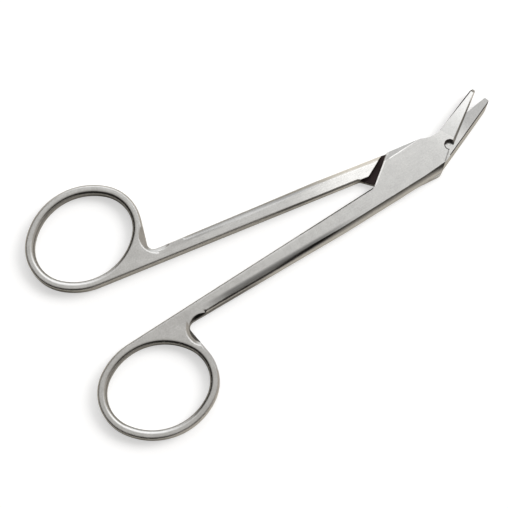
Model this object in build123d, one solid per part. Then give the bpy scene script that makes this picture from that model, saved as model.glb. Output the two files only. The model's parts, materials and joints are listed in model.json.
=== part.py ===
from build123d import *
import os
from math import acos, atan2, cos, degrees, hypot, radians, sin

# Angled suture scissors that also cut wire, lying flat and slightly open. Sizes are millimetres and degrees.
# Two forged halves cross in a lap joint and turn on one shoulder screw.
# Each half is drawn as it lies when the scissors are closed: the pivot is at X 0, Y 0, the rings are at
# minus X, the blades bend towards plus Y, and the resting plane is Z 0. It is then opened to its rest.

# Stock and lap joint
stock_thickness = 3.4
layer_gap = 0.06
shoulder_distance = 9.95
shoulder_bearing = 127.0
shoulder_clearance = 0.1
seam_at_shoulder = 0.85
seam_gap = 0.1
plate_corner_radius = 0.4

# Opening at rest, and the gap left between the rings when closed
rest_opening = 10.6
closed_ring_gap = 0.14

# Finger rings. The radius of a hole's ends is less than half its width by the tightening.
ring_distance = 86.44
ring_hole_length = 25.56
ring_hole_width = 20.74
ring_end_tightening = 1.77
ring_band = 2.3
ring_turn = 12.2
ring_hole_rounding = 1.0

# Shanks, from the neck beside the ring to the joint
neck_setback = 13.69
neck_side = 3.6
notch_radius = 1.6
joint_side = 4.9
joint_side_at = 28.0
side_end_at = 1.0
rim_bevel = 0.38
plate_end_bevel = 0.12

# Outer side of each half: a small facet at the neck, round at the middle of the shank, and a steep facet along
# the joint, above and below. A fullness of 1 is a quarter round, and one of 0 is a flat facet.
neck_facet_width = 0.45
neck_facet_depth = 0.7
shank_round_at = 50.0
shank_round_width = 1.5
joint_facet_width = 1.3
joint_facet_end = 3.0
heel_facet_width = 1.63
heel_facet_at = 3.1
facet_depth = 1.5
facet_fullness = 0.3

# Countersink ground into the notch at the neck, and the bevel on the end of each plate
neck_grind_radius = 3.6
neck_grind_width = 0.9
neck_grind_slope = 0.6
plate_bevel = 1.7
plate_bevel_slope = 0.35

# Top half: corners of the plate and the blade
top_corner_side = 6.5
top_hump = (1.0, 5.0)
top_valley = (4.17, 3.27)
top_tip_back = (19.05, 9.15)
top_tip_edge = (19.55, 8.15)
top_edge_bearing = 35.3

# Bottom half: corners of the plate and the blade
bottom_corner_side = 6.0
bottom_hump = (1.35, -5.05)
bottom_valley = (2.6, -3.85)
bottom_back_bend = (17.9, 6.02)
bottom_tip_back = (19.95, 8.15)
bottom_tip_edge = (19.25, 9.2)
bottom_edge_bend = (12.5, 7.0)
bottom_heel = (3.4, 2.9)

# Corner radii
hump_radius = 1.0
bottom_hump_radius = 1.8
valley_radius = 7.0
bottom_heel_radius = 3.0
back_bend_radius = 5.0
edge_bend_radius = 60.0
tip_radius = 0.45

# Ground faces of the blades
blade_bearing = 28.0
taper_start = 7.5
tip_thinning = 0.7
nose_length = 0.8
nose_slope = 0.7
edge_land = 0.3
edge_bevel = 0.5
back_bevel = 0.5
back_bevel_depth = 1.15

# Wire notch in the top blade's cutting edge
notch_diameter = 2.35
notch_from_tip = 15.61
notch_inset = 0.85

# Pivot screw, flush on both sides, and its fits
screw_shoulder_diameter = 3.2
screw_thread_diameter = 2.8
screw_head_diameter = 5.0
screw_head_rim = 0.15
screw_head_depth = 1.0
screw_recess = 0.05
slot_width = 0.8
slot_depth = 0.5
running_clearance = 0.03
thread_clearance = 0.01

# Values that follow from the sizes
mid_plane = stock_thickness / 2
layer_thickness = mid_plane - layer_gap / 2
ring_end_radius = ring_hole_width / 2 - ring_end_tightening
ring_ends_at = ring_hole_length / 2 - ring_end_radius
ring_flank_radius = (ring_ends_at ** 2 + (ring_hole_width / 2) ** 2 - ring_end_radius ** 2) / (
    2 * ring_end_tightening)
ring_flanks_at = ring_flank_radius - ring_hole_width / 2
ring_side = ring_flank_radius + ring_band - ring_flanks_at * cos(radians(ring_turn)) + closed_ring_gap / 2
neck_distance = ring_distance - neck_setback
through_all = 4 * stock_thickness


def shoulder_point(y, side):
    """Point at height y on the end of the plate that lies towards side."""
    across, along = cos(radians(shoulder_bearing)), side * sin(radians(shoulder_bearing))
    return ((shoulder_distance - along * y) / across, y)


def beyond(a, b, distance):
    """Point on the line from a through b, past b by distance."""
    length = hypot(b[0] - a[0], b[1] - a[1])
    return (b[0] + (b[0] - a[0]) * distance / length, b[1] + (b[1] - a[1]) * distance / length)


def ring_arcs(side, wall):
    """Middle, radius, first bearing and span of the four arcs round a finger ring, a wall outside its hole."""
    join = degrees(atan2(ring_flanks_at, ring_ends_at))
    arcs = []
    for bearing, offset, radius, half_span in (
            (0, ring_ends_at, ring_end_radius, join), (90, -ring_flanks_at, ring_flank_radius, 90 - join),
            (180, ring_ends_at, ring_end_radius, join), (270, -ring_flanks_at, ring_flank_radius, 90 - join)):
        turned = bearing + side * ring_turn
        middle = (offset * cos(radians(turned)) - ring_distance, offset * sin(radians(turned)) + side * ring_side)
        arcs.append((middle, radius + wall, turned - half_span, 2 * half_span))
    return arcs


def ring_oval(side, wall):
    """Oval of a finger ring, a wall outside its hole."""
    return make_face([CenterArc(*arc) for arc in ring_arcs(side, wall)])


def ring_touch(point, side, turn):
    """Where a line from the point touches the ring's outside; turn picks one of the two tangents."""
    for middle, radius, first, span in ring_arcs(side, ring_band):
        dx, dy = point[0] - middle[0], point[1] - middle[1]
        bearing = degrees(atan2(dy, dx) + turn * acos(radius / hypot(dx, dy)))
        if (bearing - first) % 360 <= span:
            return (middle[0] + radius * cos(radians(bearing)), middle[1] + radius * sin(radians(bearing)))


def neck_corner(side):
    """Corner between the ring and the outer side of the shank."""
    return (-neck_distance, side * neck_side)


def joint_corner(side):
    """Point on the outer side of the half where the joint begins."""
    return (-joint_side_at, side * joint_side)


def side_end(side):
    """Corner beside the pivot where the outer side of the half turns in towards the blade."""
    return (side_end_at, side * joint_side)


def half_plan(side, inner_corner, joint_and_blade):
    """Outline of a half whose ring lies towards side, with the ring's hole open.
    Its corners run from the shank's outer side round the plate and the blade back to the inner corner.
    The side's end is a sharp corner, where the bevelled rims end."""
    corners = [
        (ring_touch(neck_corner(side), side, side), 0),
        (neck_corner(side), notch_radius),
        (joint_corner(side), 0),
        (side_end(side), 0),
        *joint_and_blade,
        (inner_corner, 0),
        (ring_touch(inner_corner, side, -side), 0),
    ]
    outline = FilletPolyline(*[c[0] for c in corners], radius=[c[1] for c in corners], close=True)
    return make_face(outline) + ring_oval(side, ring_band) - ring_oval(side, 0)


def rounded_blank(plan):
    """Forging of full thickness, with a round ring hole and bevelled rims along the ring and the shank."""
    blank = extrude(plan, stock_thickness)
    faces = blank.faces().sort_by(Axis.Z)
    hole_rims = faces[0].inner_wires()[0].edges() + faces[-1].inner_wires()[0].edges()
    blank = fillet(hole_rims, ring_hole_rounding)
    by_height = blank.edges().group_by(Axis.Z)
    rims = [e for e in by_height[0] + by_height[-1] if e.bounding_box().max.X < -shoulder_distance]
    return chamfer(rims, rim_bevel)


def lap_space(side, below):
    """Space beyond a half's shoulder, below or above its plate, where the other half lies."""
    depth = mid_plane + layer_gap / 2
    start = depth - through_all if below else stock_thickness - depth
    block = Box(ring_distance, ring_distance, through_all, align=(Align.MAX, Align.CENTER, Align.MIN))
    return Rot(0, 0, side * shoulder_bearing) * Pos(shoulder_distance + shoulder_clearance, 0, start) * block


def seam_space(inner_corner):
    """Space above the lower plate, ahead of its half's inner corner, where the top half's shank lies."""
    block = Box(ring_distance, ring_distance, through_all, align=(Align.MIN, Align.MAX, Align.MIN))
    return Pos(*inner_corner, mid_plane - layer_gap / 2) * block


def edge_cutter(stations, side, above):
    """Cutter along an outer edge. Each station gives X, the wall's Y, and the cut's width, depth and fullness."""
    over = stock_thickness
    face, up = (stock_thickness, 1) if above else (0, -1)
    sections = []
    for x, y, width, depth, fullness in stations:
        border, middle, foot = [(x, y - side * width * u, face - up * depth * z)
                                for u, z in ((1, 0), ((1 - fullness) / 2, (1 - fullness) / 2), (0, 1))]
        outside = [foot, (x, y + side * over, foot[2]), (x, y + side * over, face + up * over),
                   (x, border[1], face + up * over), border]
        sections.append(make_face([Bezier(border, middle, foot), *Polyline(*outside).edges()]))
    return loft(sections, ruled=True)


def side_rounding(side, above):
    """Cutter that facets and rounds the outer side of a half, from the neck to where it turns in."""
    rise = (joint_side - neck_side) / (neck_distance - joint_side_at)
    stations = [(-at, side * (joint_side - max(at - joint_side_at, 0) * rise), width, depth, fullness)
                for at, width, depth, fullness in (
                    (neck_distance - notch_radius, neck_facet_width, neck_facet_depth, 0),
                    (shank_round_at, shank_round_width, facet_depth, 1),
                    (joint_side_at, joint_facet_width, facet_depth, facet_fullness),
                    (joint_facet_end, joint_facet_width, facet_depth, facet_fullness),
                    (-heel_facet_at, heel_facet_width, facet_depth, facet_fullness))]
    return edge_cutter(stations, side, above)


def plate_bevel_cutter(corner, hump, side, above):
    """Cutter for the bevel that is widest at the plate's corner and fades out at its hump."""
    start = beyond(hump, corner, plate_corner_radius)
    depth = plate_bevel * plate_bevel_slope
    fade = (hump[0], hump[1] + side * plate_bevel, plate_bevel, depth, 0)
    return edge_cutter([(*start, plate_bevel, depth, 0), fade], side, above)


def neck_grinding(side):
    """Cones that countersink the notch at the neck, above and below. They fade out along ring and shank."""
    corner = Vector(*neck_corner(side))
    ways = [(Vector(*p) - corner).normalized()
            for p in (ring_touch(neck_corner(side), side, side), joint_corner(side))]
    outward = (ways[0] + ways[1]).normalized()
    to_notch = notch_radius / sin(radians(ways[0].get_angle(ways[1]) / 2))
    middle = corner + outward * (to_notch + neck_grind_radius - notch_radius)
    wide = neck_grind_radius + neck_grind_width
    depth = wide * neck_grind_slope
    cone = Cone(0, wide, depth, align=(Align.CENTER, Align.CENTER, Align.MAX))
    above = Pos(middle.X, middle.Y, stock_thickness) * cone
    return above + mirror(above, Plane.XY.offset(mid_plane))


def prism_along(start, end, profile):
    """Prism along a level line. Its profile gives the distance to the right of the line, and the height."""
    bearing = degrees(atan2(end[1] - start[1], end[0] - start[0]))
    length = hypot(end[0] - start[0], end[1] - start[1])
    face = make_face(Polyline(*[(0, -across, z) for across, z in profile], close=True))
    return Pos(start[0], start[1]) * Rot(0, 0, bearing) * extrude(face, length, dir=(1, 0, 0))


def broken_edge(start, end, side, above):
    """Cutter that breaks a level edge. The material is to the right of the edge where side is 1."""
    face, up = (stock_thickness, 1) if above else (0, -1)
    spare = stock_thickness
    return prism_along(start, end, [(-side * spare, face - up * (plate_end_bevel + spare)),
                                    (side * (plate_end_bevel + spare), face + up * spare),
                                    (-side * spare, face + up * spare)])


def blade_grinding(edge, back, side, on_top):
    """Cutters for a blade: its taper in thickness, which ends in a blunt nose, and the bevels of edge and back.
    The edge and the back are lines towards the tip, and the edge is to the right where side is 1."""
    reach = edge[1][0] * cos(radians(blade_bearing)) + edge[1][1] * sin(radians(blade_bearing))
    up = 1 if on_top else -1
    mating = mid_plane + up * layer_gap / 2
    outer = stock_thickness if on_top else 0
    spare = stock_thickness
    nose = outer - up * tip_thinning
    taper = [(taper_start, outer), (taper_start, outer + up * spare), (reach + spare, outer + up * spare),
             (reach + spare, nose - up * nose_slope * (nose_length + spare)), (reach - nose_length, nose)]
    wedge = make_face(Polyline(*[(s, -reach, z) for s, z in taper], close=True))
    keen_slope = edge_bevel / (layer_thickness - edge_land)
    keen_height = layer_thickness - edge_land + spare
    keen = [(0, mating + up * edge_land), (-side * keen_slope * keen_height, outer + up * spare),
            (side * spare, outer + up * spare), (side * spare, mating + up * edge_land)]
    dull_slope = back_bevel / back_bevel_depth
    dull = [(0, mating + up * back_bevel_depth), (side * (back_bevel + dull_slope * spare), mating - up * spare),
            (-side * spare, mating - up * spare), (-side * spare, mating + up * back_bevel_depth)]
    return (Rot(0, 0, blade_bearing) * extrude(wedge, 2 * reach, dir=(0, 1, 0))
            + prism_along(edge[0], beyond(*edge, through_all), keen)
            + prism_along(back[0], beyond(*back, through_all), dull))


def screw_body(clearance):
    """Head and shoulder of the pivot screw, larger all round by a clearance and open below for the head."""
    head, shoulder = screw_head_diameter / 2 + clearance, screw_shoulder_diameter / 2 + clearance
    low = 0 if clearance else screw_recess
    top = mid_plane + layer_gap / 2
    profile = [(0, low), (head, low), (head, screw_recess + screw_head_rim),
               (shoulder, screw_recess + screw_head_depth), (shoulder, top), (0, top)]
    return revolve(make_face(Polyline(*[(r, 0, z) for r, z in profile], close=True)), Axis.Z)


def make_top_half():
    """The half whose plate and blade lie on top. Its ring is at minus Y, and its edge has the wire notch."""
    inner_corner = shoulder_point(seam_at_shoulder - seam_gap / 2, 1)
    plate_corner = shoulder_point(top_corner_side, 1)
    ahead = (cos(radians(top_edge_bearing)), sin(radians(top_edge_bearing)))
    foot = (top_tip_edge[0] - notch_from_tip * ahead[0], top_tip_edge[1] - notch_from_tip * ahead[1])
    notch = (foot[0] - notch_inset * ahead[1], foot[1] + notch_inset * ahead[0])
    plan = half_plan(-1, inner_corner, [
        ((notch[0], notch[1] - notch_inset / 2), 0),
        (foot, 0),
        (top_tip_edge, tip_radius),
        (top_tip_back, tip_radius),
        (top_valley, valley_radius),
        (top_hump, hump_radius),
        (plate_corner, plate_corner_radius),
    ])
    half = rounded_blank(plan) - lap_space(-1, True) - neck_grinding(-1)
    half -= side_rounding(-1, True) + side_rounding(-1, False)
    half -= plate_bevel_cutter(plate_corner, top_hump, 1, True) + broken_edge(inner_corner, plate_corner, 1, True)
    half -= blade_grinding((foot, top_tip_edge), (top_valley, top_tip_back), 1, True)
    half -= Pos(*notch) * Cylinder(notch_diameter / 2, through_all)
    return half - Cylinder(screw_thread_diameter / 2 + thread_clearance, through_all)


def make_bottom_half():
    """The half whose plate and blade lie underneath. Its ring is at plus Y."""
    inner_corner = shoulder_point(seam_at_shoulder + seam_gap / 2, -1)
    plate_corner = shoulder_point(-bottom_corner_side, -1)
    plan = half_plan(1, inner_corner, [
        (bottom_heel, bottom_heel_radius),
        (bottom_edge_bend, edge_bend_radius),
        (bottom_tip_edge, tip_radius),
        (bottom_tip_back, tip_radius),
        (bottom_back_bend, back_bend_radius),
        (bottom_valley, hump_radius),
        (bottom_hump, bottom_hump_radius),
        (plate_corner, plate_corner_radius),
    ])
    half = rounded_blank(plan) - lap_space(1, False) - seam_space(inner_corner) - neck_grinding(1)
    half -= side_rounding(1, True) + side_rounding(1, False)
    half -= plate_bevel_cutter(plate_corner, bottom_hump, -1, False)
    half -= broken_edge(inner_corner, plate_corner, -1, False)
    half -= blade_grinding((bottom_edge_bend, bottom_tip_edge), (bottom_valley, bottom_back_bend), -1, False)
    return half - screw_body(running_clearance)


def make_pivot_screw():
    """Flush shoulder screw, driven from the underside and threaded into the top half."""
    thread = Pos(0, 0, stock_thickness - layer_thickness / 2) * Cylinder(screw_thread_diameter / 2, layer_thickness)
    slot = Pos(0, 0, screw_recess) * Box(2 * screw_head_diameter, slot_width, 2 * slot_depth)
    return screw_body(0) + thread - slot


opened = {
    "top_half": Rot(0, 0, rest_opening / 2) * make_top_half(),
    "bottom_half": Rot(0, 0, -rest_opening / 2) * make_bottom_half(),
    "pivot_screw": Rot(0, 0, rest_opening / 2) * make_pivot_screw(),
}

# The scissors stand on their origin: it is under the middle of their box, and the pivot is beside it
boxes = [shape.bounding_box() for shape in opened.values()]
pivot_x = -(min(b.min.X for b in boxes) + max(b.max.X for b in boxes)) / 2
pivot_y = -(min(b.min.Y for b in boxes) + max(b.max.Y for b in boxes)) / 2
os.makedirs("parts", exist_ok=True)
for name, shape in opened.items():
    export_step(Pos(pivot_x, pivot_y) * shape, f"parts/{name}.step")
print(f"pivot axis at X {pivot_x:.4f}, Y {pivot_y:.4f}")
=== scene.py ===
"""Angled suture scissors in satin steel, lying slightly open on a white table.

The solids of the frame keep their shapes and get their finish here: ground satin steel with painted
highlights on its borders, blades and shanks, and painted shade on its sides, rings and in the recess of
the lap joint. The stage is a white table in a small studio.
"""

import json
import math

import bmesh
import bpy
from bpy.props import FloatProperty, FloatVectorProperty, PointerProperty
from mathutils import Matrix, Vector


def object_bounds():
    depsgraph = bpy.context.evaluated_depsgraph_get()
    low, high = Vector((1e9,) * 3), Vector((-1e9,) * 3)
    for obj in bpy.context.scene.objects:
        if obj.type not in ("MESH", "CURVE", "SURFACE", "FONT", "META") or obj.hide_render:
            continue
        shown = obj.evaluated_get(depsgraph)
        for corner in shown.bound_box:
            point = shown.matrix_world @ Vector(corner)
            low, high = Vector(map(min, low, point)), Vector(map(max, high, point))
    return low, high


bl_info = {
    "name": "Suture scissors",
    "version": (1, 0, 0),
    "blender": (4, 5, 0),
    "location": "View3D > Sidebar > Scissors",
    "description": "Finishes the steel of a pair of suture scissors and lays them on a lit table",
    "category": "Object",
}

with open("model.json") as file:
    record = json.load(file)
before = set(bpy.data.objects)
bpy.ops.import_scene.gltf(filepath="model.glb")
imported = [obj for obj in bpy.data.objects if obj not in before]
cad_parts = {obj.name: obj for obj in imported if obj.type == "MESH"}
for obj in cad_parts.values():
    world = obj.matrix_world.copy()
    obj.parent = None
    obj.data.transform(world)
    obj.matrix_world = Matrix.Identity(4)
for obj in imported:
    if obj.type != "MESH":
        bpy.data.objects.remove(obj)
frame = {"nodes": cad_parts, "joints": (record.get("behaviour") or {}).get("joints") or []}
SOLID_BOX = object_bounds()

MILLIMETRE = 0.001
PIVOT = Vector(frame["joints"][0]["pos_m"])
HALF_OPENING = -math.radians(frame["joints"][0]["range_deg"][0]) / 2
TOP_FACE = SOLID_BOX[1][2]
MATING_FACE = TOP_FACE / 2
UP = (0, 0, 1)
WHITE = (1, 1, 1, 1)

# Depth below a face that still counts as the face
SKIN = 0.1 * MILLIMETRE

# Places on a half are measured from the pivot, at bearings in degrees from the half's own long axis.
# A line on it has the bearing at a right angle to it, and its distance from the pivot.
BEHIND = 180
LEFT = 90

# Upper blade: its heel, its ground taper, where its painted highlight is full, its end, and the line of its
# back
BLADE_BEARING = 28.0
HEEL_START = 3 * MILLIMETRE
TAPER_START = 7.5 * MILLIMETRE
BLADE_BRIGHT = 18.5 * MILLIMETRE
BLADE_END = 20 * MILLIMETRE
BACK_BEARING = 111.6
BACK_DISTANCE = 1.5 * MILLIMETRE
BACK_WIDTH = 0.32 * MILLIMETRE

# Upper plate: the inner border of its bevel and the border at its end, both with painted highlights, and
# their widths
BEVEL_BEARING = 90.8
BEVEL_DISTANCE = 4.8 * MILLIMETRE
BEVEL_LENGTH = 8.2 * MILLIMETRE
SHOULDER_BEARING = 127.0
PLATE_END = 9.95 * MILLIMETRE
PLATE_END_START = 0.9 * MILLIMETRE
PLATE_END_WIDTH = 0.5 * MILLIMETRE
BORDER_WIDTH = 0.3 * MILLIMETRE

# Wire notch in the edge of the upper blade, whose wall and rim are painted dark as shade
NOTCH_BEARING = -1.6
NOTCH_DISTANCE = 6.32 * MILLIMETRE
NOTCH_RADIUS = 1.175 * MILLIMETRE
NOTCH_RIM = 0.2 * MILLIMETRE

# Edge of the upper plate between the notch and the plate's lower corner, with its border painted in shade
NOSE_BEARING = -51.1
NOSE_DISTANCE = 4.435 * MILLIMETRE
NOSE_WIDTH = 0.26 * MILLIMETRE
NOSE_START = 0.3 * MILLIMETRE
NOSE_END = 3.7 * MILLIMETRE

# Hole of a finger ring: its middle behind and beside the pivot, half sizes and turn, and the limits of its
# wall, painted in shade
RING_DISTANCE = 86.44 * MILLIMETRE
RING_SIDE = 12.83 * MILLIMETRE
RING_HALF_LENGTH = 12.78 * MILLIMETRE
RING_HALF_WIDTH = 10.37 * MILLIMETRE
RING_TURN = 12.2
BORE_REACH = 1.13
BORE_LOW = 0.6 * MILLIMETRE
BORE_HIGH = 3.05 * MILLIMETRE

# Distances behind the pivot between which the edges get as soft as on the rings
SOFTER_START = 30 * MILLIMETRE
SOFTER_FULL = 44 * MILLIMETRE

# Outer side of the upper half's shank: the stretch and the height of its steep part, painted darker as shade
STEEP_START = 46 * MILLIMETRE
STEEP_FULL = 58 * MILLIMETRE
STEEP_END = 74 * MILLIMETRE
STEEP_HEIGHT = 2.9 * MILLIMETRE
STEEP_SIDE = 2 * MILLIMETRE

# Outer sides of both shanks: the upper half's strip and the lower half's round, both painted in shade, and
# their stretch
OUTER_BEARING = 91.68
STRIP_START = 3.2 * MILLIMETRE
STRIP_FULL = 4.1 * MILLIMETRE
STRIP_FADE = 4.55 * MILLIMETRE
STRIP_END = 5.1 * MILLIMETRE
ROUND_START = 3.9 * MILLIMETRE
ROUND_FULL = 4.6 * MILLIMETRE
STRETCH_START = 18 * MILLIMETRE
STRETCH_FULL = 36 * MILLIMETRE
STRETCH_FADE = 58 * MILLIMETRE
STRETCH_END = 69 * MILLIMETRE

# Ends of the countersinks at the necks, where the grind fades out along the shank
UPPER_NECK = (66.7 * MILLIMETRE, 72.2 * MILLIMETRE)
LOWER_NECK = (63 * MILLIMETRE, 70.5 * MILLIMETRE)
NECK_RISE = 0.9 * MILLIMETRE
NECK_SIDE = 1.6 * MILLIMETRE
NECK_LOW = 2.85 * MILLIMETRE
NECK_HIGH = 3.1 * MILLIMETRE

# The pivot screw's thread fills its hole in the upper plate without a visible seam
SCREW_RADIUS = 1.4 * MILLIMETRE
FLUSH_RADIUS = 1.5 * SCREW_RADIUS

# Lower half: the recess of the lap joint before and behind its shoulder, which is painted dark as shade
RECESS_START = 5.5 * MILLIMETRE
SHOULDER_DISTANCE = 10.15 * MILLIMETRE
RECESS_END = 11.6 * MILLIMETRE

# Lower half's shank: where its painted highlight starts and is full, and its inner side's rim, painted in
# shade
SHANK_HIGHLIGHT_START = 38 * MILLIMETRE
SHANK_HIGHLIGHT_FULL = 18 * MILLIMETRE
RIM_LOW = 2.6 * MILLIMETRE
RIM_SIDE = 1.4 * MILLIMETRE
RIM_FADE = 32 * MILLIMETRE
RIM_END = 48 * MILLIMETRE

# Lower blade's mating face: its root with painted light, and the border along the back, painted dark as shade
ROOT_BRIGHT = 8 * MILLIMETRE
ROOT_END = 15 * MILLIMETRE
LOWER_BACK_BEARING = -57.2
LOWER_BACK_DISTANCE = 4.15 * MILLIMETRE
LOWER_BACK_WIDTH = 0.22 * MILLIMETRE
LOWER_BACK_START = 4 * MILLIMETRE

# Noise of the finish: its detail and mean, and how often it repeats in a metre
NOISE_DETAIL = 3.0
NOISE_MEAN = 0.5
CLOUD_SCALE = 420.0
GRAIN_SCALE = 2600.0
SCRATCH_SCALE = (160, 3600, 3600)

# How much the noise changes the roughness, the brightness and the relief
CLOUD_ROUGHNESS = 0.5
SCRATCH_ROUGHNESS = 0.05
SCRATCH_SHADE = 0.06
GRAIN_RELIEF = 0.5
RELIEF_STRENGTH = 0.15
RELIEF_HEIGHT = 0.00002

# Roughness that a place painted dark as shade adds
PAINTED_SHADE_ROUGHNESS = 0.35

# Least upward part of the normal of a face that looks up
FACING_UP = 0.5

# Samples of a rubbed edge
EDGE_SAMPLES = 6

# Directions: bearing from the picture's right-hand side, and height above the table, in degrees
PICTURE_TOP = (90, 0)
TABLE_LAMP = (25, 42)

# Soft lights that the steel mirrors: bearing, height, and the cosines at which each starts and is full
OVERHEAD = (90, 75, 0.7, 0.92)
WINDOW = (80, 50, 0.86, 0.97)
BEYOND = (100, 8, 0.78, 0.95)
CORNER = (-52, -12, 0.75, 0.95)
WALL = (20, 15, 0.5, 0.9)

# Camera: the bearings of the picture's right-hand side and of the camera, and the pixel that shows the pivot
PICTURE_RIGHT = math.radians(-26.97)
CAMERA_SIDE = math.radians(275) + PICTURE_RIGHT
PIXELS = 508
PIVOT_PIXEL = (428.0, 157.0)
PIXELS_PER_METRE = 4050.0
SENSOR_WIDTH = 36
NEAREST_SEEN = 0.01


class Wire:
    """A socket that can be used in arithmetic. Each operation adds its Math node to the tree."""

    def __init__(self, shop, socket):
        self.shop = shop
        self.socket = socket

    def math(self, operation, *others):
        inputs = dict(enumerate((self, *others)))
        return self.shop.node("ShaderNodeMath", {"operation": operation}, inputs)

    def __add__(self, other):
        return self.math("ADD", other)

    def __sub__(self, other):
        return self.math("SUBTRACT", other)

    def __rsub__(self, other):
        return self * -1.0 + other

    def __mul__(self, other):
        return self.math("MULTIPLY", other)

    def __gt__(self, other):
        return self.math("GREATER_THAN", other)

    def __lt__(self, other):
        return self.math("LESS_THAN", other)

    __radd__ = __add__
    __rmul__ = __mul__

    def within(self, low, high):
        """1 where the value lies between two limits, and 0 elsewhere."""
        return self.math("COMPARE", (low + high) / 2, (high - low) / 2)


class Shop:
    """Makes the nodes of one material or world."""

    def __init__(self, owner):
        owner.use_nodes = True
        self.tree = owner.node_tree
        self.tree.nodes.clear()

    def node(self, kind, settings=None, inputs=None, output=0):
        """Adds a node: its settings first, then the values or wires of its sockets. Gives one output."""
        made = self.tree.nodes.new(kind)
        for name, value in (settings or {}).items():
            setattr(made, name, value)
        for name, value in (inputs or {}).items():
            if isinstance(value, Wire):
                self.tree.links.new(value.socket, made.inputs[name])
            else:
                made.inputs[name].default_value = value
        return Wire(self, made.outputs[output]) if made.outputs else None

    def vector(self, operation, first, second, output=0):
        """Vector Math node of two vectors."""
        return self.node("ShaderNodeVectorMath", {"operation": operation}, {0: first, 1: second}, output)

    def along(self, vector, direction):
        """How far a vector reaches in a direction."""
        return self.vector("DOT_PRODUCT", vector, direction, "Value")

    def rise(self, value, low, high):
        """Climbs smoothly from 0 at the low value to 1 at the high one."""
        return self.node("ShaderNodeMapRange", {"interpolation_type": "SMOOTHSTEP"},
                         {"Value": value, "From Min": low, "From Max": high})

    def mix(self, share, first, second, blend="MIX"):
        """Colour between two others."""
        return self.node("ShaderNodeMix", {"data_type": "RGBA", "blend_type": blend},
                         {0: share, "A": first, "B": second}, "Result")

    def mix_vectors(self, share, first, second):
        """Vector between two others."""
        return self.node("ShaderNodeMix", {"data_type": "VECTOR"},
                         {0: share, "A": first, "B": second}, "Result")


def level(bearing, height=0.0):
    """Unit vector at a bearing, raised by an angle above the table."""
    across = math.cos(height)
    return Vector((across * math.cos(bearing), across * math.sin(bearing), math.sin(height)))


def toward(degrees, height):
    """Unit vector at a bearing from the picture's right-hand side and at a height, both in degrees."""
    return level(PICTURE_RIGHT + math.radians(degrees), math.radians(height))


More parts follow.
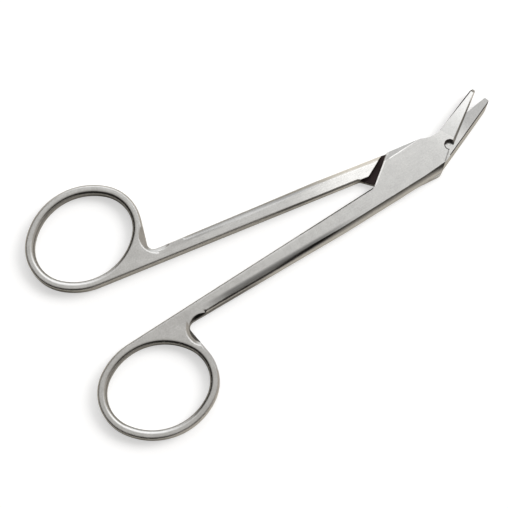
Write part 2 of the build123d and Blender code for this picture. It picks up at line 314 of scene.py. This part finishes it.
class Steel(Shop):
    """Ground satin stainless steel of a piece that is turned about the pivot, scratched lengthwise."""

    def __init__(self, name, settings, turn):
        self.material = bpy.data.materials.new(name)
        super().__init__(self.material)
        self.settings = settings
        self.turn = turn
        self.place = self.node("ShaderNodeTexCoord", output="Object")
        self.height = self.along(self.place, UP)
        self.upward = self.along(self.node("ShaderNodeTexCoord", output="Normal"), UP) > FACING_UP
        self.from_pivot = self.vector("SUBTRACT", self.place, PIVOT)
        turned = self.node("ShaderNodeMapping", {"vector_type": "TEXTURE"},
                           {"Vector": self.place, "Rotation": (0, 0, turn)})
        stretched = self.node("ShaderNodeMapping", {}, {"Vector": turned, "Scale": SCRATCH_SCALE})
        self.scratches = self.noise(stretched, 1.0)
        self.grain = self.noise(self.place, GRAIN_SCALE)
        clouds = (self.noise(self.place, CLOUD_SCALE) - NOISE_MEAN) * settings.mottling
        grained = (self.grain - NOISE_MEAN) * settings.grain
        scratched = self.scratches - NOISE_MEAN
        self.rough = settings.roughness + clouds * CLOUD_ROUGHNESS + scratched * SCRATCH_ROUGHNESS
        self.shade = 1 + clouds + grained + scratched * SCRATCH_SHADE
        self.dark = None
        self.faded = None

    def noise(self, vector, scale):
        """Noise between 0 and 1."""
        return self.node("ShaderNodeTexNoise", {}, {"Vector": vector, "Scale": scale, "Detail": NOISE_DETAIL})

    def bearing(self, degrees):
        """Unit vector at a bearing from the piece's long axis."""
        return level(math.radians(degrees) + self.turn)

    def reach(self, degrees):
        """Distance from the pivot along a bearing."""
        return self.along(self.from_pivot, self.bearing(degrees))

    def near_axis(self, middle, radius):
        """1 within a radius of an upright axis."""
        across = self.vector("MULTIPLY", self.vector("SUBTRACT", self.place, middle), (1, 1, 0))
        return self.vector("LENGTH", across, (0, 0, 0), "Value") < radius

    def bore(self, side):
        """1 on the wall of the finger ring left of the piece's axis, or right of it for -1."""
        middle = PIVOT + self.bearing(BEHIND) * RING_DISTANCE + self.bearing(LEFT * side) * RING_SIDE
        away = self.vector("SUBTRACT", self.place, middle)
        lengthwise = self.along(away, self.bearing(side * RING_TURN) / RING_HALF_LENGTH)
        crosswise = self.along(away, self.bearing(side * RING_TURN + LEFT) / RING_HALF_WIDTH)
        inside = lengthwise * lengthwise + crosswise * crosswise < BORE_REACH
        return inside * self.height.within(BORE_LOW, BORE_HIGH)

    def stretch(self):
        """Rises and falls again along the shank."""
        back = self.reach(BEHIND)
        return self.rise(back, STRETCH_START, STRETCH_FULL) * (1 - self.rise(back, STRETCH_FADE, STRETCH_END))

    def tone(self, mask, gain):
        """Makes a place brighter, or darker where the gain is less than 0."""
        self.shade = self.shade * (1 + mask * gain)

    def fade_countersink(self, side, start, end):
        """Fades the grind at the neck out, left of the piece's axis, or right of it for -1."""
        back = self.reach(BEHIND)
        aside = self.reach(LEFT * side) > NECK_SIDE
        ground = self.rise(back, start, start + NECK_RISE) * (back < end) * aside
        self.faded = ground * self.rise(self.height, NECK_LOW, NECK_HIGH)

    def paint_shade(self, mask):
        """Paints a place dark as shade."""
        self.dark = mask if self.dark is None else self.dark.math("MAXIMUM", mask)

    def rubbed(self, softness):
        """Normal with edges that look rubbed to a radius."""
        return self.node("ShaderNodeBevel", {"samples": EDGE_SAMPLES}, {"Radius": softness})

    def finish(self):
        """Joins the finish to the material's output. The edges look rubbed, more so on the rings and the
        rear of the shanks, and not at the flush screw. A faded countersink looks flat."""
        colour = self.mix(1.0, (*self.settings.tint, 1), self.shade, "MULTIPLY")
        # Places painted dark as shade take the painted shade tint and more roughness
        if self.dark is not None:
            colour = self.mix(self.dark, colour, (*self.settings.painted_shade_tint, 1))
            self.rough = self.rough + self.dark * PAINTED_SHADE_ROUGHNESS
        sharp = self.rubbed(self.settings.edge_softness)
        rounded = self.rubbed(self.settings.ring_softness)
        near_ring = self.rise(self.reach(BEHIND), SOFTER_START, SOFTER_FULL)
        normal = self.mix_vectors(near_ring, sharp, rounded)
        true = self.node("ShaderNodeNewGeometry", output="Normal")
        flush = self.near_axis(PIVOT, FLUSH_RADIUS) * (self.height > MATING_FACE)
        normal = self.mix_vectors(flush, normal, true)
        if self.faded is not None:
            normal = self.mix_vectors(self.faded, normal, UP)
        relief = self.grain * GRAIN_RELIEF + self.scratches
        bump = self.node("ShaderNodeBump", {},
                         {"Strength": RELIEF_STRENGTH, "Distance": RELIEF_HEIGHT,
                          "Height": relief, "Normal": normal})
        surface = self.node("ShaderNodeBsdfPrincipled", {},
                            {"Base Color": colour, "Metallic": 1.0, "Roughness": self.rough, "Normal": bump})
        self.node("ShaderNodeOutputMaterial", {}, {"Surface": surface})
        return self.material


def upper_steel(settings):
    """Steel of the upper half. Its plate's borders get painted highlights, and its blade is painted brighter
    to the tip. Its bevel, steep side, strip, ring wall, notch and blade's back get painted shade.
    """
    steel = Steel("top_half_steel", settings, HALF_OPENING)
    blade = steel.reach(BLADE_BEARING)
    # Painted highlight towards the blade and its tip, with painted shade where the grind begins
    steel.tone(steel.rise(blade, HEEL_START, TAPER_START), settings.heel_painted_highlight)
    steel.tone(blade > TAPER_START, -settings.blade_painted_shade)
    steel.tone(steel.rise(blade, TAPER_START, BLADE_BRIGHT), settings.blade_painted_highlight)
    # Painted shade: a dark line along the blade's back
    off_back = steel.reach(BACK_BEARING) + steel.rise(blade, TAPER_START, BLADE_END) * BACK_WIDTH
    steel.paint_shade((off_back > BACK_DISTANCE) * (blade > TAPER_START) * steel.upward)
    # Painted shade on the plate's bevel, and painted highlights on its inner border and at the plate's end
    off_axis = steel.reach(BEVEL_BEARING)
    behind = steel.reach(BEVEL_BEARING + LEFT)
    border = BEVEL_DISTANCE + BORDER_WIDTH
    steel.tone((off_axis > border) * (behind > 0.0) * steel.upward, -settings.bevel_painted_shade)
    fade = steel.rise(behind, 0.0, BEVEL_LENGTH / 2) * (behind < BEVEL_LENGTH)
    steel.tone(off_axis.within(BEVEL_DISTANCE, border) * fade, settings.border_painted_highlight)
    end = steel.reach(SHOULDER_BEARING).within(PLATE_END - PLATE_END_WIDTH, PLATE_END)
    steel.tone(end * (steel.reach(LEFT) > PLATE_END_START) * steel.upward, settings.border_painted_highlight)
    # Painted shade on the plate's edge beside the notch
    nose = steel.reach(NOSE_BEARING) > NOSE_DISTANCE - NOSE_WIDTH
    steel.tone(nose * steel.reach(NOSE_BEARING + LEFT).within(NOSE_START, NOSE_END), -settings.nose_painted_shade)
    # Painted shade on the steep outer side of the shank
    steep = (steel.height < STEEP_HEIGHT) * (steel.reach(-LEFT) > STEEP_SIDE)
    back = steel.reach(BEHIND)
    steel.tone(steep * steel.rise(back, STEEP_START, STEEP_FULL) * (back < STEEP_END), -settings.side_painted_shade)
    # Painted shade on a strip along the shank's outer side
    off_side = steel.reach(-OUTER_BEARING)
    strip = steel.rise(off_side, STRIP_START, STRIP_FULL) * (1 - steel.rise(off_side, STRIP_FADE, STRIP_END))
    steel.tone(strip * steel.stretch(), -settings.strip_painted_shade)
    # Painted shade on the ring's inner wall
    steel.tone(steel.bore(-1), -settings.bore_painted_shade)
    steel.fade_countersink(-1, *UPPER_NECK)
    # Painted shade on the notch's wall and rim
    notch = PIVOT + steel.bearing(NOTCH_BEARING) * NOTCH_DISTANCE
    steel.paint_shade(steel.near_axis(notch, NOTCH_RADIUS + NOTCH_RIM))
    return steel.finish()


def lower_steel(settings):
    """Steel of the lower half. Its shank is painted brighter towards the joint, and its recess is painted
    dark as shade.
    """
    steel = Steel("bottom_half_steel", settings, -HALF_OPENING)
    behind = steel.reach(BEHIND)
    off_joint = behind > SHOULDER_DISTANCE
    # Painted highlight on the shank towards the joint
    steel.tone(steel.rise(behind, SHANK_HIGHLIGHT_START, SHANK_HIGHLIGHT_FULL) * off_joint, settings.shank_painted_highlight)
    # Painted shade on the shank's rounded outer side
    outer = steel.rise(steel.reach(OUTER_BEARING), ROUND_START, ROUND_FULL)
    steel.tone(outer * steel.stretch(), -settings.round_painted_shade)
    # Painted shade on the inner side's rim at the joint
    rim = steel.height.within(RIM_LOW, TOP_FACE - SKIN / 2) * (steel.reach(LEFT) < RIM_SIDE)
    joint_end = off_joint * (1 - steel.rise(behind, RIM_FADE, RIM_END))
    steel.tone(rim * joint_end, -settings.rim_painted_shade)
    # Painted shade on the ring's inner wall
    steel.tone(steel.bore(1), -settings.bore_painted_shade)
    steel.fade_countersink(1, *LOWER_NECK)
    # The mating face is made darker
    mating = steel.height.within(MATING_FACE - SKIN, MATING_FACE)
    steel.tone(mating, -settings.mating_darkening)
    # Painted light at the root of the mating face
    root = 1 - steel.rise(steel.reach(BLADE_BEARING), ROOT_BRIGHT, ROOT_END)
    steel.tone(mating * root, settings.root_painted_light)
    # Painted shade: a dark line along the lower blade's back
    off_back = steel.reach(LOWER_BACK_BEARING)
    border = off_back.within(LOWER_BACK_DISTANCE - LOWER_BACK_WIDTH, LOWER_BACK_DISTANCE)
    steel.paint_shade(border * mating * (steel.reach(LOWER_BACK_BEARING + LEFT) > LOWER_BACK_START))
    # Painted shade on the walls and floor of the lap joint's recess
    ahead = steel.reach(SHOULDER_BEARING)
    low = MATING_FACE - 2 * SKIN
    walls = ahead.within(RECESS_START, SHOULDER_DISTANCE) * steel.height.within(low, TOP_FACE - SKIN)
    floor = ahead.within(RECESS_START, RECESS_END) * steel.height.within(low, MATING_FACE)
    steel.paint_shade(walls)
    steel.paint_shade(floor)
    return steel.finish()


def dress(node, material):
    """Gives a solid of the frame its finish."""
    mesh = frame["nodes"][node].data
    mesh.materials.clear()
    mesh.materials.append(material)


def table_material(settings):
    """White table top that keeps the scissors' soft shadow, and is darker where steel mirrors it."""
    made = bpy.data.materials.new("white_table")
    shop = Shop(made)
    seen = shop.node("ShaderNodeLightPath", output="Is Camera Ray")
    mirrored = shop.node("ShaderNodeLightPath", output="Is Glossy Ray")
    colour = shop.mix(mirrored, (*settings.table_tint, 1), (*settings.mirrored_tint, 1))
    diffuse = shop.node("ShaderNodeBsdfDiffuse", {}, {"Color": colour})
    glow = shop.node("ShaderNodeEmission", {}, {"Color": WHITE, "Strength": seen * settings.table_glow})
    both = shop.node("ShaderNodeAddShader", {}, {0: diffuse, 1: glow})
    shop.node("ShaderNodeOutputMaterial", {}, {"Surface": both})
    return made


def lay_table(settings):
    """Lays the table top under the scissors."""
    shape = bmesh.new()
    bmesh.ops.create_grid(shape, x_segments=1, y_segments=1, size=settings.table_size / 2)
    mesh = bpy.data.meshes.new("table_top")
    shape.to_mesh(mesh)
    shape.free()
    mesh.materials.append(table_material(settings))
    table = bpy.data.objects.new("table_top", mesh)
    bpy.context.scene.collection.objects.link(table)


def light_room(settings):
    """What the steel mirrors: soft light overhead, a bright window above the picture's top edge, low light
    beyond that edge and beyond the lower right corner, a dim warm wall to the right, and dark between."""
    world = bpy.data.worlds.new("studio")
    bpy.context.scene.world = world
    shop = Shop(world)
    way = shop.node("ShaderNodeTexCoord", output="Generated")

    def light(lamp, strength):
        """Light around one direction, which fades out to its sides."""
        bearing, height, start, full = lamp
        return shop.rise(shop.along(way, toward(bearing, height)), start, full) * strength

    above = light(OVERHEAD, settings.overhead) + light(WINDOW, settings.window)
    lamps = above + light(BEYOND, settings.beyond)
    colour = shop.mix(lamps, (*settings.wall_tint, 1), WHITE)
    strength = lamps + light(CORNER, settings.corner) + light(WALL, settings.wall) + settings.darkness
    lit = shop.node("ShaderNodeBackground", {}, {"Color": colour, "Strength": strength})
    white = shop.node("ShaderNodeBackground", {}, {"Color": WHITE, "Strength": 1.0})
    seen = shop.node("ShaderNodeLightPath", output="Is Camera Ray")
    both = shop.node("ShaderNodeMixShader", {}, {0: seen, 1: lit, 2: white})
    shop.node("ShaderNodeOutputWorld", {}, {"Surface": both})


def hang_lamp(settings):
    """Hangs the round lamp that lights the table. The steel doesn't mirror it."""
    data = bpy.data.lights.new("table_lamp", "AREA")
    data.shape = "DISK"
    data.size = settings.lamp_size
    data.energy = settings.lamp_power
    lamp = bpy.data.objects.new("table_lamp", data)
    bpy.context.scene.collection.objects.link(lamp)
    back = toward(*TABLE_LAMP)
    turn = back.to_track_quat("Z", "Y").to_matrix().to_4x4()
    lamp.matrix_world = Matrix.Translation(back * settings.lamp_distance) @ turn
    lamp.visible_glossy = False


def set_camera(settings):
    """Puts the camera where the picture was taken from, and shows the pivot at its pixel."""
    data = bpy.data.cameras.new("camera")
    camera = bpy.data.objects.new("camera", data)
    bpy.context.scene.collection.objects.link(camera)
    bpy.context.scene.camera = camera
    back = level(CAMERA_SIDE, math.radians(90) - settings.camera_tilt)
    right = toward(*PICTURE_TOP).cross(back).normalized()
    up = back.cross(right)
    focal = PIXELS_PER_METRE * settings.camera_distance
    data.sensor_width = SENSOR_WIDTH
    data.lens = data.sensor_width * focal / PIXELS
    data.clip_start = NEAREST_SEEN
    pivot_top = Vector((PIVOT.x, PIVOT.y, TOP_FACE))
    ray = right * (PIVOT_PIXEL[0] - PIXELS / 2) / focal + up * (PIXELS / 2 - PIVOT_PIXEL[1]) / focal - back
    place = pivot_top + ray * (settings.camera_distance * back.z - pivot_top.z) / ray.z
    camera.matrix_world = Matrix.Translation(place) @ Matrix((right, up, back)).transposed().to_4x4()


class SteelSettings(bpy.types.PropertyGroup):
    """Finish of the steel, with its painted highlights and painted shade"""
    tint: FloatVectorProperty(
        name="Tint", description="Colour that the bare steel reflects",
        subtype="COLOR", size=3, min=0, max=1, default=(0.6, 0.598, 0.587))
    # Colour of the painted shade in the recess, the notch and along the blades' backs
    painted_shade_tint: FloatVectorProperty(
        name="Unpolished", description="Colour of the steel that is left unpolished",
        subtype="COLOR", size=3, min=0, max=1, default=(0.05, 0.038, 0.038))
    roughness: FloatProperty(
        name="Roughness", description="How matt the satin finish is", min=0.05, max=1, default=0.21)
    mottling: FloatProperty(
        name="Mottling", description="How much the finish varies from place to place",
        min=0, max=0.5, default=0.22)
    grain: FloatProperty(
        name="Grain", description="How strong the fine grain of the finish is", min=0, max=1, default=0.25)
    edge_softness: FloatProperty(
        name="Edge softness", description="Radius to which sharp edges look rubbed",
        unit="LENGTH", precision=5, min=0, max=0.001, default=0.00012)
    ring_softness: FloatProperty(
        name="Ring softness",
        description="Radius to which the edges of the rings and the rear of the shanks look rounded",
        unit="LENGTH", precision=5, min=0, max=0.001, default=0.0005)
    # Painted shade on the wall inside the rings
    bore_painted_shade: FloatProperty(
        name="Bore satin", description="How much darker the wall inside the rings is",
        min=0, max=1, default=0.55)
    # Painted shade on the steep outer side of the upper half's shank
    side_painted_shade: FloatProperty(
        name="Side satin", description="How much darker the steep outer side of the upper half's shank is",
        min=0, max=1, default=0.75)
    # Painted shade on the strip along the upper half's shank
    strip_painted_shade: FloatProperty(
        name="Strip satin",
        description="How much darker the strip along the outer side of the upper half's shank is",
        min=0, max=1, default=0.65)
    # Painted shade on the rounded outer side of the lower half's shank
    round_painted_shade: FloatProperty(
        name="Round satin", description="How much darker the rounded outer side of the lower half's shank is",
        min=0, max=1, default=0.38)
    # Painted shade on the lower half's rim at the joint
    rim_painted_shade: FloatProperty(
        name="Rim satin", description="How much darker the rim of the lower half's shank is at the joint",
        min=0, max=1, default=0.65)
    # Painted shade on the plate's edge beside the notch
    nose_painted_shade: FloatProperty(
        name="Nose satin", description="How much darker the plate's edge beside the notch is",
        min=0, max=1, default=0.42)
    # Painted highlight on the upper half towards its blade
    heel_painted_highlight: FloatProperty(
        name="Heel polish", description="How much brighter the upper half gets towards its blade",
        min=0, max=0.6, default=0.12)
    # Painted shade where the upper blade's grind begins
    blade_painted_shade: FloatProperty(
        name="Blade satin", description="How much darker the grind of the upper blade begins",
        min=0, max=0.6, default=0.3)
    # Painted highlight on the upper blade towards its tip
    blade_painted_highlight: FloatProperty(
        name="Blade polish", description="How much brighter the upper blade gets towards its tip",
        min=0, max=1, default=0.33)
    # Painted highlights on the upper plate's borders
    border_painted_highlight: FloatProperty(
        name="Border polish", description="How much brighter the burnished borders of the upper plate are",
        min=0, max=1, default=0.32)
    # Painted shade on the plate's bevel
    bevel_painted_shade: FloatProperty(
        name="Bevel satin", description="How much darker the plate's bevel is", min=0, max=1, default=0.28)
    # Makes the mating face darker
    mating_darkening: FloatProperty(
        name="Mating face satin", description="How much darker the face is on which the other half slides",
        min=0, max=1, default=0.28)
    # Painted light on the lower blade's mating face at its root
    root_painted_light: FloatProperty(
        name="Root polish", description="How much brighter the lower blade's mating face is at its root",
        min=0, max=1, default=0.5)
    # Painted highlight on the lower half's shank towards the joint
    shank_painted_highlight: FloatProperty(
        name="Shank polish", description="How much brighter the lower half's shank gets towards the joint",
        min=0, max=0.7, default=0.6)


class StageSettings(bpy.types.PropertyGroup):
    """Table, light and camera"""
    table_size: FloatProperty(
        name="Table size", description="Side of the square table top",
        unit="LENGTH", min=0.5, max=20, default=8)
    table_tint: FloatVectorProperty(
        name="Table", description="Colour of the table top",
        subtype="COLOR", size=3, min=0, max=1, default=(0.6, 0.6, 0.6))
    mirrored_tint: FloatVectorProperty(
        name="Mirrored table", description="Colour of the table as the steel mirrors it",
        subtype="COLOR", size=3, min=0, max=1, default=(0.74, 0.7, 0.63))
    table_glow: FloatProperty(
        name="Table glow", description="Light that the table adds to what the camera sees",
        min=0, max=1, default=0.53)
    overhead: FloatProperty(name="Overhead", description="Soft light from above", min=0, max=4, default=0.62)
    window: FloatProperty(
        name="Window", description="Bright light above the top of the picture", min=0, max=8, default=1.12)
    beyond: FloatProperty(
        name="Beyond", description="Low light beyond the top of the picture", min=0, max=4, default=1.05)
    corner: FloatProperty(
        name="Corner", description="Low light beyond the lower right of the picture",
        min=0, max=4, default=0.42)
    wall: FloatProperty(
        name="Wall", description="Light from the wall to the right", min=0, max=2, default=0.5)
    wall_tint: FloatVectorProperty(
        name="Wall tint", description="Colour of the light from the walls",
        subtype="COLOR", size=3, min=0, max=1, default=(1.0, 0.93, 0.84))
    darkness: FloatProperty(
        name="Darkness", description="Light left in the dark between walls and lamps",
        min=0, max=1, default=0.015)
    lamp_power: FloatProperty(
        name="Lamp power", description="Power of the lamp that lights the table",
        unit="POWER", min=0, max=500, default=26.5)
    lamp_size: FloatProperty(
        name="Lamp size", description="Width of the round lamp", unit="LENGTH", min=0.01, max=5, default=1.2)
    lamp_distance: FloatProperty(
        name="Lamp distance", description="From the table's middle to the lamp",
        unit="LENGTH", min=0.5, max=10, default=2)
    camera_distance: FloatProperty(
        name="Camera distance", description="From the camera to the table in the picture's middle",
        unit="LENGTH", min=0.1, max=5, default=0.52)
    camera_tilt: FloatProperty(
        name="Camera tilt", description="Angle between the view and the vertical",
        unit="ROTATION", min=0, max=1.5, default=math.radians(12))


class SCISSORS_OT_finish_halves(bpy.types.Operator):
    """Gives both halves their satin steel"""
    bl_idname = "scissors.finish_halves"
    bl_label = "Finish the halves"

    def execute(self, context):
        settings = context.scene.scissors_steel
        dress("top_half", upper_steel(settings))
        dress("bottom_half", lower_steel(settings))
        return {"FINISHED"}


class SCISSORS_OT_finish_screw(bpy.types.Operator):
    """Gives the pivot screw the steel of the half that it is threaded into"""
    bl_idname = "scissors.finish_screw"
    bl_label = "Finish the pivot screw"

    def execute(self, context):
        dress("pivot_screw", Steel("screw_steel", context.scene.scissors_steel, HALF_OPENING).finish())
        return {"FINISHED"}


class SCISSORS_OT_set_stage(bpy.types.Operator):
    """Lays the table, lights it and puts the camera in place"""
    bl_idname = "scissors.set_stage"
    bl_label = "Set the stage"

    def execute(self, context):
        settings = context.scene.scissors_stage
        lay_table(settings)
        light_room(settings)
        hang_lamp(settings)
        set_camera(settings)
        context.scene.view_settings.view_transform = "Standard"
        return {"FINISHED"}


class SCISSORS_PT_panel(bpy.types.Panel):
    """Settings and steps in the sidebar"""
    bl_label = "Scissors"
    bl_space_type = "VIEW_3D"
    bl_region_type = "UI"
    bl_category = "Scissors"

    def draw(self, context):
        scene = context.scene
        for settings, steps in ((scene.scissors_steel, (SCISSORS_OT_finish_halves, SCISSORS_OT_finish_screw)),
                                (scene.scissors_stage, (SCISSORS_OT_set_stage,))):
            box = self.layout.box()
            for name in settings.__annotations__:
                box.prop(settings, name)
            for step in steps:
                box.operator(step.bl_idname)


CLASSES = (SteelSettings, StageSettings, SCISSORS_OT_finish_halves, SCISSORS_OT_finish_screw,
           SCISSORS_OT_set_stage, SCISSORS_PT_panel)


def register():
    for cls in CLASSES:
        bpy.utils.register_class(cls)
    bpy.types.Scene.scissors_steel = PointerProperty(type=SteelSettings)
    bpy.types.Scene.scissors_stage = PointerProperty(type=StageSettings)


def unregister():
    del bpy.types.Scene.scissors_stage
    del bpy.types.Scene.scissors_steel
    for cls in reversed(CLASSES):
        bpy.utils.unregister_class(cls)


def main():
    """Finishes the scissors and sets the stage."""
    register()
    bpy.ops.scissors.finish_halves()
    bpy.ops.scissors.finish_screw()
    bpy.ops.scissors.set_stage()
    bpy.context.view_layer.update()


if __name__ == "__main__":
    main()
